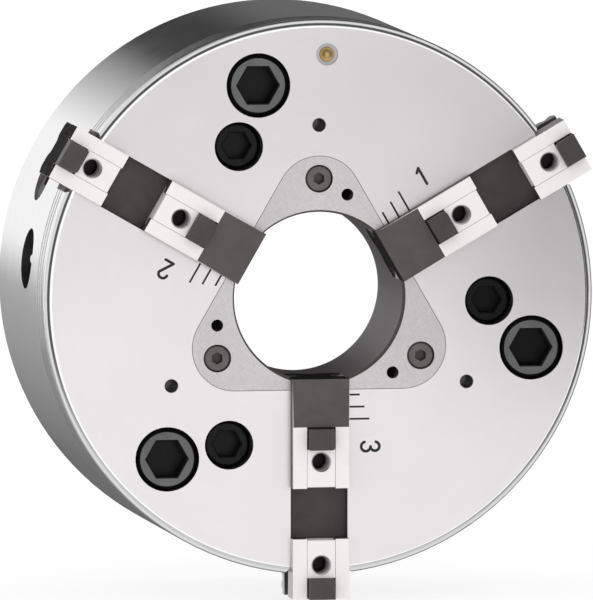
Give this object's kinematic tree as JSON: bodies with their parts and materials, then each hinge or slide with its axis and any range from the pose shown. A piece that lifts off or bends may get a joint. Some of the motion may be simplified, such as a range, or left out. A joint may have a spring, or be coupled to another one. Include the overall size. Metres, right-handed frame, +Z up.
{
  "type": "lathe power chuck",
  "caption": "Lathe power chuck with sliding base jaws, hidden wedge bars, a draw piston and a large through-hole; bolts to a short-taper spindle nose.",
  "frame": {"origin": "centre of the rear mounting face, on the spindle axis", "axes": "+Y along the spindle axis towards the spindle, so the jaws face -Y; +Z up with one jaw pointing straight down; +X to the right of someone facing the jaws"},
  "size_m": [0.215, 0.1456, 0.2239],
  "materials": {
    "ground_steel": "fine ground face, polished outside",
    "cover_steel": "fine turned",
    "jaw_steel": "ground pads, case-hardened dark flanks",
    "dark_steel": "black oxide",
    "screw_steel": "black oxide",
    "plated_steel": "bright zinc",
    "inner_steel": "oiled machined steel",
    "oiler_brass": "polished",
    "seal_rubber": "moulded"
  },
  "bodies": {
    "housing": {"chuck_body": "ground_steel", "mounting_flange": "ground_steel", "centre_sleeve": "cover_steel", "sleeve_seal": "seal_rubber", "cover_screws": "screw_steel", "mounting_screws": "screw_steel", "flange_screws": "screw_steel", "flange_dowels": "inner_steel", "retainer_screws": "screw_steel", "grease_nipples": "plated_steel", "oiler_ball": "oiler_brass", "spindle_clips": "dark_steel", "bar_retainer_1": "inner_steel", "bar_retainer_2": "inner_steel", "bar_retainer_3": "inner_steel"},
    "piston": {"draw_piston": "inner_steel", "piston_seal": "seal_rubber", "draw_tube_ring": "inner_steel"},
    "wedge_1": {"wedge_bar_1": "inner_steel"},
    "jaw_1": {"base_jaw_1": "jaw_steel", "t_nuts_1": "jaw_steel", "jaw_keys_1": "dark_steel"},
    "spindle_1": {"unlock_spindle_1": "dark_steel"},
    "bolt_1": {"lock_bolt_1": "inner_steel"},
    "wedge_2": {"wedge_bar_2": "inner_steel"},
    "jaw_2": {"base_jaw_2": "jaw_steel", "t_nuts_2": "jaw_steel", "jaw_keys_2": "dark_steel"},
    "spindle_2": {"unlock_spindle_2": "dark_steel"},
    "bolt_2": {"lock_bolt_2": "inner_steel"},
    "wedge_3": {"wedge_bar_3": "inner_steel"},
    "jaw_3": {"base_jaw_3": "jaw_steel", "t_nuts_3": "jaw_steel", "jaw_keys_3": "dark_steel"},
    "spindle_3": {"unlock_spindle_3": "dark_steel"},
    "bolt_3": {"lock_bolt_3": "inner_steel"}
  },
  "joints": [
    {"name": "piston_slide", "type": "slide", "parent": "housing", "child": "piston", "axis": [0, -1, 0], "range_m": [-0.002, 0.02]},
    {"name": "wedge_slide_1", "type": "slide", "parent": "housing", "child": "wedge_1", "axis": [-0.5, 0, 0.866], "range_m": [-0.0019, 0.0181]},
    {"name": "jaw_slide_1", "type": "slide", "parent": "housing", "child": "jaw_1", "axis": [0.866, 0, 0.5], "range_m": [-0.0007, 0.0067]},
    {"name": "spindle_turn_1", "type": "hinge", "parent": "housing", "child": "spindle_1", "pos_m": [0.08164, -0.053, 0.0586], "axis": [0.866, 0, 0.5], "range_deg": [0, 360]},
    {"name": "bolt_slide_1", "type": "slide", "parent": "housing", "child": "bolt_1", "axis": [0.866, 0, 0.5], "range_m": [0, 0.00505]},
    {"name": "wedge_slide_2", "type": "slide", "parent": "housing", "child": "wedge_2", "axis": [-0.5, 0, -0.866], "range_m": [-0.0019, 0.0181]},
    {"name": "jaw_slide_2", "type": "slide", "parent": "housing", "child": "jaw_2", "axis": [-0.866, 0, 0.5], "range_m": [-0.0007, 0.0067]},
    {"name": "spindle_turn_2", "type": "hinge", "parent": "housing", "child": "spindle_2", "pos_m": [-0.09157, -0.053, 0.0414], "axis": [-0.866, 0, 0.5], "range_deg": [0, 360]},
    {"name": "bolt_slide_2", "type": "slide", "parent": "housing", "child": "bolt_2", "axis": [-0.866, 0, 0.5], "range_m": [0, 0.00505]},
    {"name": "wedge_slide_3", "type": "slide", "parent": "housing", "child": "wedge_3", "axis": [1, 0, 0], "range_m": [-0.0019, 0.0181]},
    {"name": "jaw_slide_3", "type": "slide", "parent": "housing", "child": "jaw_3", "axis": [0, 0, -1], "range_m": [-0.0007, 0.0067]},
    {"name": "spindle_turn_3", "type": "hinge", "parent": "housing", "child": "spindle_3", "pos_m": [0.00993, -0.053, -0.1], "axis": [0, 0, -1], "range_deg": [0, 360]},
    {"name": "bolt_slide_3", "type": "slide", "parent": "housing", "child": "bolt_3", "axis": [0, 0, -1], "range_m": [0, 0.00505]}
  ],
  "couplings": [
    {"joint": "wedge_slide_1", "follows": "piston_slide", "ratio": 0.9},
    {"joint": "jaw_slide_1", "follows": "piston_slide", "ratio": 0.33003},
    {"joint": "bolt_slide_1", "follows": "spindle_turn_1", "m_per_rad": 0.00079577},
    {"joint": "wedge_slide_2", "follows": "piston_slide", "ratio": 0.9},
    {"joint": "jaw_slide_2", "follows": "piston_slide", "ratio": 0.33003},
    {"joint": "bolt_slide_2", "follows": "spindle_turn_2", "m_per_rad": 0.00079577},
    {"joint": "wedge_slide_3", "follows": "piston_slide", "ratio": 0.9},
    {"joint": "jaw_slide_3", "follows": "piston_slide", "ratio": 0.33003},
    {"joint": "bolt_slide_3", "follows": "spindle_turn_3", "m_per_rad": 0.00079577}
  ]
}
